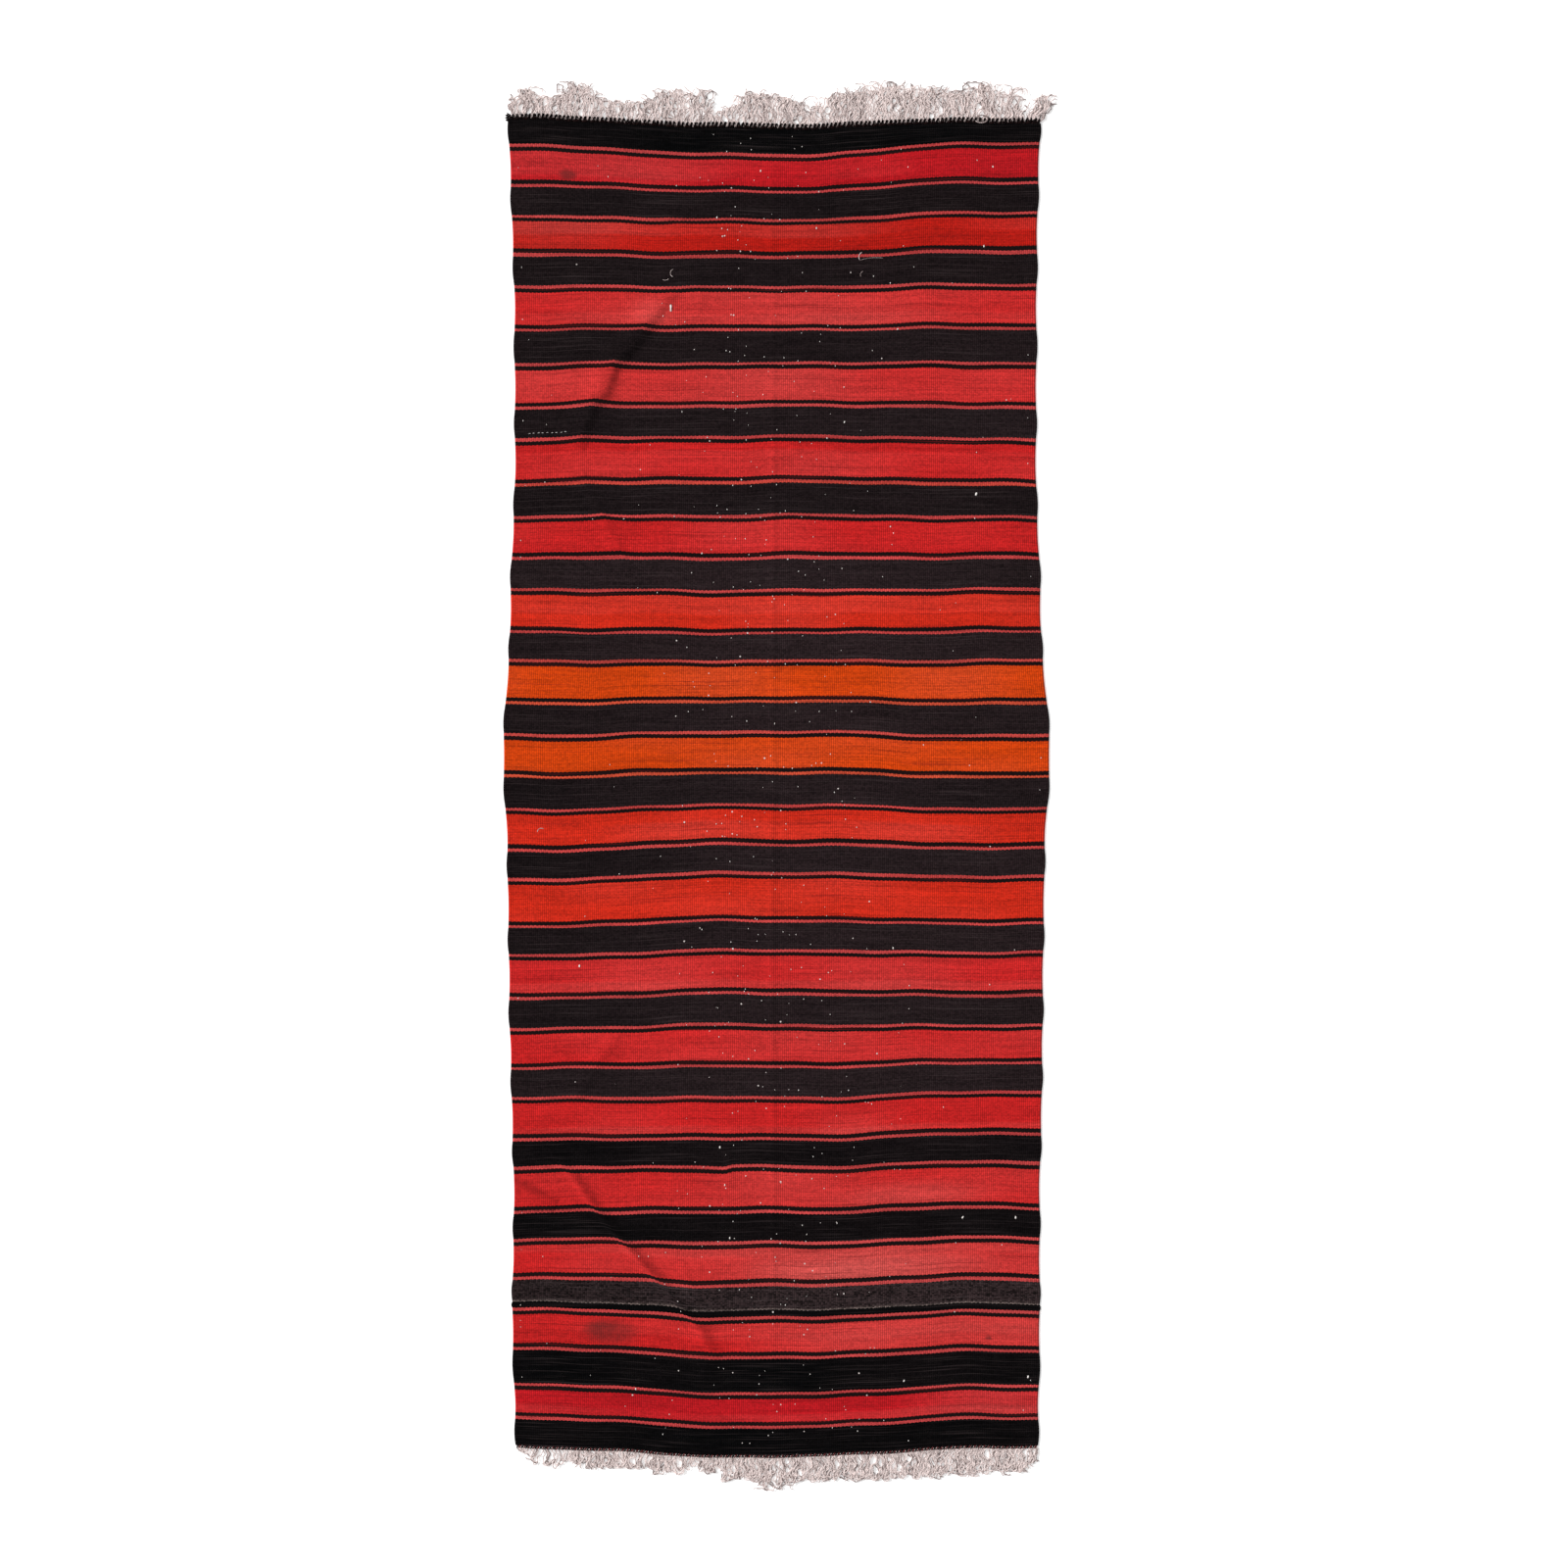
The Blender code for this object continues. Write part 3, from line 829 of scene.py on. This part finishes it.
def new_material(name):
    """An empty material, and add_node for its own nodes."""
    material = bpy.data.materials.new(name)
    material.use_nodes = True
    material.node_tree.nodes.clear()
    return material, partial(add_node, material.node_tree)


def put_shader(add, surface):
    """Ends a material with its shader. Values that don't vary stay on the shader's own sockets."""
    add("OutputMaterial", {"Surface": add("BsdfPrincipled", surface)}, out=None)


def rgba(hex_colour):
    return (*linear(hex_colour), 1.0)


COLOURS = {"data_type": "RGBA", "out": 2}  # for a Mix node that blends two colours
SMOOTH = {"interpolation_type": "SMOOTHSTEP"}
FIBRE = {"Specular IOR Level": 0.04, "Sheen Roughness": 0.55}  # fine hair gives no clear highlight
RIB_MM = ACROSS / RIB_COUNT
# Real picks are 1.25 mm apart on a rib. They are drawn at twice that, so that they still show.
PICK_MM = 2.5
SPECK_MM = 15.0  # each square of cloth of this size may have one speck
FOLD_MM, FOLD_REACH = 490.0, 190.0  # where specks crowd round the old fold, and how far they spread


def stretched(add, place, scales, detail, roughness=0.5):
    """A cloudy pattern, with a scale for each of the place's three values."""
    place = add("VectorMath MULTIPLY", place, scales)
    return add("TexNoise", {"Vector": place, "Scale": 1.0, "Detail": detail, "Roughness": roughness})


def weft_wool(name, lined, fleck, sheen):
    """Hand-spun wool weft, packed over warps and rubbed by use. lined draws the thin red and thin black
    lines of a red group, and fleck is how strongly light and dark fleece are mixed in the yarn."""
    material, add = new_material(name)
    cloth = add("Attribute", attribute_name="cloth", out="Vector")
    dye = add("Attribute", attribute_name="dye", out=None).outputs
    place = add("SeparateXYZ", cloth, out=None).outputs

    def clouds(across_mm, along_mm, detail=2.0, roughness=0.5):
        return stretched(add, cloth, (1 / across_mm, 1 / along_mm, 3.7), detail, roughness)

    # Ribs over the warps, and picks that lie half a step lower on every other rib
    rib = add("Math DIVIDE", place["X"], RIB_MM)
    rib_number = add("Math FLOOR", rib)
    odd = add("Math MODULO", rib_number, 2.0)
    pick = add("Math DIVIDE", place["Y"], PICK_MM)
    pick = add("Math MULTIPLY_ADD", odd, 0.5, pick)
    pick_number = add("Math FLOOR", pick)
    valley = add("Math MULTIPLY", rib, math.pi)
    valley = add("Math COSINE", valley)
    valley = add("Math ABSOLUTE", valley)
    valley = add("Math POWER", valley, 5.0)
    between = add("Math MULTIPLY", pick, 2 * math.pi)
    between = add("Math COSINE", between)
    between = add("Math MULTIPLY_ADD", between, 0.5, 0.5)
    cell = add("CombineXYZ", rib_number, pick_number, place["Z"])
    grain = add("TexWhiteNoise", {"Vector": cell})

    # Streaks run with the weft, because each new ball of yarn was dyed a little differently
    streak = clouds(150, 2.6, 3.0, 0.62)
    abrash = clouds(420, 14)
    mottle = clouds(48, 20, 4.0, 0.6)
    fibre = clouds(1.1, 0.5, 2.0, 0.6)
    tone = add("Math MULTIPLY_ADD", streak, 1.15, 0.43)
    for pattern, amount in ((abrash, 0.50), (mottle, 0.18), (grain, 0.36 + fleck), (fibre, 0.30 + fleck)):
        change = add("Math MULTIPLY_ADD", pattern, amount, -amount / 2)
        tone = add("Math ADD", tone, change)
    # Painted shade: the colour is darker in the valleys between ribs and between picks
    for pattern, amount, most in ((valley, -0.34, 1.06), (between, -0.20, 1.08)):
        painted_groove_shade = add("Math MULTIPLY_ADD", pattern, amount, most)
        tone = add("Math MULTIPLY", tone, painted_groove_shade)

    # The dye colour already holds the painted shade of the deep creases
    colour = dye["Color"]
    if lined:
        # Colour lines: 0 to 1 is the thin red line, 1 to 2 the thin black one, above 2 the wide band
        line = add("Attribute", attribute_name="line", out="Fac")
        line = add("Math ADD", line, -0.05)
        line = add("Math MULTIPLY_ADD", clouds(5, 2), 0.10, line)
        thin_red = add("Mix", {0: 0.30, 6: colour, 7: rgba("C8605E")}, **COLOURS)
        uneven = add("Math MULTIPLY_ADD", abrash, 0.3, 0.78)
        thin_red = add("VectorMath SCALE", {0: thin_red, "Scale": uneven})
        past_black = add("MapRange", line, 1.95, 2.05, **SMOOTH)
        colour = add("Mix", {0: past_black, 6: rgba("150A0A"), 7: colour}, **COLOURS)
        past_red = add("MapRange", line, 0.95, 1.05, **SMOOTH)
        colour = add("Mix", {0: past_red, 6: thin_red, 7: colour}, **COLOURS)
    colour = add("VectorMath SCALE", {0: colour, "Scale": tone})

    if lined:
        # A thin dark line every few centimetres, where a darker ply was spun in
        spun_in = add("MapRange", clouds(230, 2.0), 0.58, 0.70, **SMOOTH)
        marks = [(spun_in, 0.55, "6E1014")]
    else:
        # Dark fleece was never one colour: paler, greyer picks run through it
        spun_in = add("MapRange", clouds(190, 2.2, 3.0, 0.6), 0.52, 0.74, **SMOOTH)
        marks = [(spun_in, 0.16 + 0.4 * fleck, "55494A")]

    # Soaked-in spills go brown and lose the grain
    soaked = add("Math MULTIPLY_ADD", mottle, 0.9, 0.6)
    soaked = add("Math MULTIPLY", dye["Alpha"], soaked, use_clamp=True)
    marks.append((soaked, 1.0, "4A2422"))

    # Rubbed fibre ends catch the light as pale dust, in patches where the fine fibre and the mottle clouds
    # are both high
    ends = add("MapRange", fibre, 0.60, 0.80, **SMOOTH)
    worn = add("MapRange", mottle, 0.44, 0.66, **SMOOTH)
    rubbed = add("Math MULTIPLY", ends, worn)
    marks.append((rubbed, 0.14 + 0.3 * fleck, "B9A8A4"))

    # White specks: the cotton warp shows where single picks have worn through, most of all in the middle
    scaled = add("VectorMath MULTIPLY", cloth, (1 / SPECK_MM, 1 / SPECK_MM, 5.3))
    spots = add("TexVoronoi", {"Vector": scaled, "Scale": 1.0}, feature="F1", out=None).outputs
    drawn = add("SeparateColor", spots["Color"], out=None).outputs
    off_fold = add("Math MULTIPLY_ADD", place["X"], 1 / FOLD_REACH, -FOLD_MM / FOLD_REACH)
    off_fold = add("Math ABSOLUTE", off_fold)
    off_fold = add("MapRange", off_fold, 0.5, 1.6, **SMOOTH)
    rare = add("Math MULTIPLY_ADD", off_fold, 0.17, 0.80)
    chosen = add("Math GREATER_THAN", drawn["Red"], rare)
    size = add("Math MULTIPLY_ADD", drawn["Green"], 0.06, 0.05)
    speck = add("Math LESS_THAN", spots["Distance"], size)
    speck = add("Math MULTIPLY", speck, chosen)
    marks.append((speck, 0.9, "DCD2CE"))

    for spread, strength, hex_colour in marks:
        amount = add("Math MULTIPLY", spread, strength)
        colour = add("Mix", {0: amount, 6: colour, 7: rgba(hex_colour)}, **COLOURS)

    rough = add("MapRange", tone, 0.6, 1.3, 0.97, 0.82)
    rise = add("Math MULTIPLY_ADD", fibre, 0.8, 0.3)
    rise = add("Math MULTIPLY_ADD", between, -0.7, rise)
    rise = add("Math MULTIPLY_ADD", grain, 0.25, rise)
    bump = add("Bump", {"Height": rise, "Strength": 0.7, "Distance": 0.35 * MM})
    surface = {"Base Color": colour, "Roughness": rough, "Sheen Weight": sheen, "Normal": bump}
    put_shader(add, {**surface, **FIBRE})
    return material


def plied_yarn(name, clean, soiled_and_shaded, ply_mm, sheen):
    """Two plies twisted together: pale crowns, painted shade in the groove that winds between them, and
    soiling that comes and goes along the yarn."""
    material, add = new_material(name)
    spun = add("Attribute", attribute_name="yarn", out="Vector")
    part = add("SeparateXYZ", spun, out=None).outputs
    twist = add("Math DIVIDE", part["Y"], ply_mm)
    twist = add("Math SUBTRACT", part["X"], twist)
    groove = add("Math MULTIPLY", twist, 4 * math.pi)
    groove = add("Math COSINE", groove)
    groove = add("Math MULTIPLY_ADD", groove, -0.5, 0.5)
    groove = add("Math POWER", groove, 2.0)
    darkening = stretched(add, spun, (2.0, 1 / 9, 57.0), 3.0)
    fibre = stretched(add, spun, (14.0, 0.9, 91.0), 2.0)
    # Painted shade darkens the groove between the plies; patches of dirt and each yarn's own value darken
    # it too
    amount = add("Math MULTIPLY_ADD", darkening, 2.2, -1.08)
    amount = add("Math MULTIPLY_ADD", groove, 0.50, amount)
    amount = add("Math MULTIPLY_ADD", part["Z"], 0.80, amount)
    held = add("MapRange", {"Value": amount, "To Max": 0.85})
    colour = add("Mix", {0: held, 6: rgba(clean), 7: rgba(soiled_and_shaded)}, **COLOURS)
    tone = add("Math MULTIPLY_ADD", fibre, 0.3, 0.86)
    colour = add("VectorMath SCALE", {0: colour, "Scale": tone})
    rough = add("MapRange", {"Value": darkening, "To Min": 0.8, "To Max": 0.97})
    bump = add("Bump", {"Height": fibre, "Strength": 0.6, "Distance": 0.2 * MM})
    surface = {"Base Color": colour, "Roughness": rough, "Sheen Weight": sheen, "Normal": bump}
    put_shader(add, {**surface, **FIBRE})
    return material


def all_finishes():
    return {
        # Dark fleece, dyed over: near black, browner where it has worn
        "dark": weft_wool("dark wool weft, hand-spun", False, 0.32, 0.01),
        # Madder red wool with its thin black and thin red lines: streaky along the weft
        "red": weft_wool("madder-dyed wool weft, hand-spun", True, 0.0, 0.06),
        # The same yarn from a weaker, yellower bath
        "orange": weft_wool("orange-dyed wool weft, hand-spun", True, 0.0, 0.06),
        # Undyed black and white fleece carded together: salt and pepper
        "heather": weft_wool("heather wool weft, carded from mixed fleece", False, 1.15, 0.02),
        # Fresh dark yarn, blacker than the rest
        "black": weft_wool("black wool weft, hand-spun", False, 0.05, 0.01),
        # Off-white cotton string: painted shade in its ply grooves, and patches of dust along it
        "cotton": plied_yarn("cotton warp string, two-ply", "FAE9E5", "4E3735", 7.0, 0.08),
        # Bare cotton on the face of the cloth, kept white by rubbing
        "bare": plied_yarn("cotton warp string, rubbed bare", "FBF7F3", "E2DAD4", 3.0, 0.10),
        # Dark brown goat-hair thread, glossier and harder than wool
        "stitch": plied_yarn("dark goat-hair sewing thread", "120A0B", "070405", 5.0, 0.01),
        "brown": plied_yarn("brown goat-hair sewing thread", "2C1817", "120909", 5.0, 0.02),
        "twine_red": plied_yarn("dark red wool twining yarn", "7A1C20", "3A0D10", 5.0, 0.05),
    }


# ---- The runner ----

RIB_STRENGTH = chance.uniform(0.72, 1.15, RIB_COUNT + 1)
RIB_STRENGTH[:2] = 1.7  # the outermost warps are doubled
RIB_STRENGTH[-3:] = 1.7
finish = all_finishes()
for index, node in enumerate(BANDS):
    kind = node.split("_")[-1]
    woven_band(index, finish[kind])

top_fringe = fringe("top", 1, finish["cotton"])
bottom_fringe = fringe("bottom", -1, finish["cotton"])
corner_tufts = [
    corner_tuft(f"tuft_{end}_{side}", f"selvedge_warps_{side}", across, direction, finish["cotton"])
    for end, direction in (("top", 1), ("bottom", -1))
    for side, across in (("left", 4), ("right", ACROSS - 4))
]

# Threads that wind along the ends: which line between bands each follows and how far to the +Y side of
# it, its radii in Y and Z, the length of a turn, phase, thickness, unevenness, finish and CAD node
EDGE_THREADS = {
    "overcast_stitches": (0, 4.2, (4.8, 1.9), 8.0, 0.4, 4.1, 0.3, "stitch", "overcast_edge"),
    "overcast_cord": (0, 1.4, (0.6, 1.6), 16.0, 1.5, 4.4, 0.8, "brown", "overcast_edge"),
    "twining_red": (-1, -2.4, (2.1, 1.5), 9.0, 0.0, 2.6, 0.0, "twine_red", "twined_edge"),
    "twining_dark": (-1, -2.4, (2.1, 1.5), 9.0, math.pi, 2.6, 0.0, "stitch", "twined_edge"),
}
edge_threads = [
    edge_thread(name, *sizes, finish[yarn_kind], node)
    for name, (*sizes, yarn_kind, node) in EDGE_THREADS.items()
]

TWINED_GAPS = 168  # gaps between the twists of the twined edge
# Warps laid bare where the weft has worn through: across, along, length, width, heading
BARE_WARPS = (
    (299, 344, 13, 3.2, 0.0), (886, 695, 6, 3.4, 0.3), (900, 235, 4, 2.8, 0.0), (633, 562, 4, 2.8, 0.4),
    (580, 190, 4, 2.6, 0.0), (390, 171, 4, 2.4, 0.0), (474, 77, 4, 2.4, 0.0), (400, 208, 3, 2.2, 0.0),
    (855, 2069, 5, 2.6, 0.6), (956, 2068, 5, 2.8, 0.0), (981, 2369, 5, 2.8, 0.2), (231, 2388, 4, 2.4, 0.0),
    (744, 2371, 4, 2.4, 0.5), (131, 1583, 5, 2.6, 0.0), (392, 1927, 4, 2.4, 0.0), (401, 1997, 4, 2.4, 0.0),
    (411, 2097, 4, 2.4, 0.0), (720, 1555, 4, 2.4, 0.0),
)
WORN_PICKS = 440  # single picks worn through, most of all where the runner was folded
WORN_LANES = ((560, 55), (430, 40), (500, 150), (500, 380))  # middle across, and spread
bare = [on_cloth(*sizes) for sizes in BARE_WARPS]
for i in range(9):  # a row of single worn picks near the left selvedge
    across = 26 + 8.8 * i + chance.uniform(-1, 1)
    bare.append(on_cloth(across, 579 + chance.uniform(-1, 1), 4.0, 0.7, 1.5))
for _ in range(WORN_PICKS):
    centre, spread = WORN_LANES[int(chance.integers(0, len(WORN_LANES)))]
    at = float(np.clip(chance.normal(centre, spread), 14, 986))
    size = chance.uniform(0.9, 1.7)
    bare.append(on_cloth(at, chance.uniform(8, 2490), 1.5 * size, size))
for i in range(TWINED_GAPS):  # the warps show white there
    at = (i + 0.5) / TWINED_GAPS * ACROSS
    bare.append(on_cloth(at, LINE_ALONG[-1] + 2.4, 2.4, chance.uniform(1.1, 1.7)))
bare_warps = yarn_piece("bare_warps", bare, finish["bare"])

# Grey threads that have settled on the face, and one white loop at the top edge
strays = [
    on_cloth(684, 251, 46, 0.9, 1.5, 0.25),
    on_cloth(661, 246, 16, 1.1, 0.3, 0.9),
    on_cloth(664, 280, 13, 0.9, 0.4, 1.0),
    on_cloth(299, 276, 18, 0.9, 0.1, 1.2),
    on_cloth(290, 290, 12, 0.8, 1.4, -0.6),
    on_cloth(60, 1322, 16, 1.1, 1.1, 1.0),
]
stray_threads = yarn_piece("stray_threads", strays, finish["cotton"])


def loose_loop():
    """White string that has come out of the fringe and lies over the stitches in a small ring."""
    centre = lay(890, -8)
    steps = 44
    turn = np.linspace(-2.6, 2.9, steps)
    wide = np.linspace(13, 10, steps) * MM
    x = centre[0] + wide * np.cos(turn)
    y = centre[1] + 0.62 * wide * np.sin(turn)
    z = centre[2] + (4.2 + 0.8 * np.sin(turn * 1.5)) * MM
    return yarn(np.stack([x, y, z], axis=-1), 2.2 * MM, 6 * MM)


loop = yarn_piece("loose_loop", [loose_loop()], finish["cotton"])


def corner_knot():
    """The overcasting thread is wound round the corner and knotted there."""
    base = lay(0, -2)
    steps, turns = 70, 3.4
    turn = np.linspace(0, 2 * math.pi * turns, steps)
    squeeze = 1 - 0.45 * np.linspace(-1, 1, steps) ** 2
    x = base[0] + (3.2 * np.cos(turn) * squeeze - 3) * MM
    y = base[1] + np.linspace(-6, 9, steps) * MM
    z = base[2] + (2.3 * np.sin(turn) * squeeze + 0.8) * MM
    z = np.maximum(z, 1.7 * MM)  # it rests on the floor
    return yarn(np.stack([x, y, z], axis=-1), 2.6 * MM, 5 * MM, reference=(0.02, 1, 0.03))


knot = yarn_piece("corner_knot", [corner_knot()], finish["stitch"], strips=4)

# ---- Floor, light and camera ----


def pale_floor():
    """Plain matt white floor, lit a little from behind so that it stays white between the strings."""
    mesh = bpy.data.meshes.new("floor")
    reach = 14.0
    corners = [(-reach, -reach, 0), (reach, -reach, 0), (reach, reach, 0), (-reach, reach, 0)]
    mesh.from_pydata(corners, [], [(0, 1, 2, 3)])
    floor = new_object("floor", mesh)
    floor.location.z = -0.2 * MM
    material, add = new_material("matt white floor paint")
    at = add("TexCoord", out="Object")
    cloudy = add("TexNoise", {"Vector": at, "Scale": 3.0, "Detail": 2.0})
    colour = add("Mix", {0: cloudy, 6: rgba("FAFAFA"), 7: rgba("FCFCFC")}, **COLOURS)
    glow = {"Emission Color": rgba("FFFFFF"), "Emission Strength": 0.40}
    surface = {"Base Color": colour, "Roughness": 0.7, "Specular IOR Level": 0.04}
    put_shader(add, {**surface, **glow})
    mesh.materials.append(material)


def soft_light():
    """Bright even room light, with one broad lamp from the upper left."""
    scene = bpy.context.scene
    world = bpy.data.worlds.new("studio")
    scene.world = world
    world.use_nodes = True
    background = world.node_tree.nodes["Background"].inputs
    background["Color"].default_value = rgba("FFFFFF")
    background["Strength"].default_value = 0.40
    lamp = bpy.data.lights.new("broad_lamp", "SUN")
    lamp.energy = 3.38
    lamp.angle = math.radians(22)
    shines_to = Vector((1.0, -0.45, -0.80))
    new_object("broad_lamp", lamp).rotation_euler = shines_to.to_track_quat("-Z", "Y").to_euler()
    scene.view_settings.view_transform = "Standard"


def overhead_camera():
    """Straight above the middle of the runner, far enough off that the edges show no slant."""
    low, high = cad_box
    lens, sensor, view_width = 120.0, 36.0, 2.96
    camera = bpy.data.cameras.new("camera")
    camera.lens = lens
    camera.sensor_width = sensor
    camera.clip_end = 100.0
    eye = new_object("camera", camera)
    eye.location = ((low.x + high.x) / 2, (low.y + high.y) / 2, high.z + view_width * lens / sensor)
    bpy.context.scene.camera = eye


pale_floor()
soft_light()
overhead_camera()
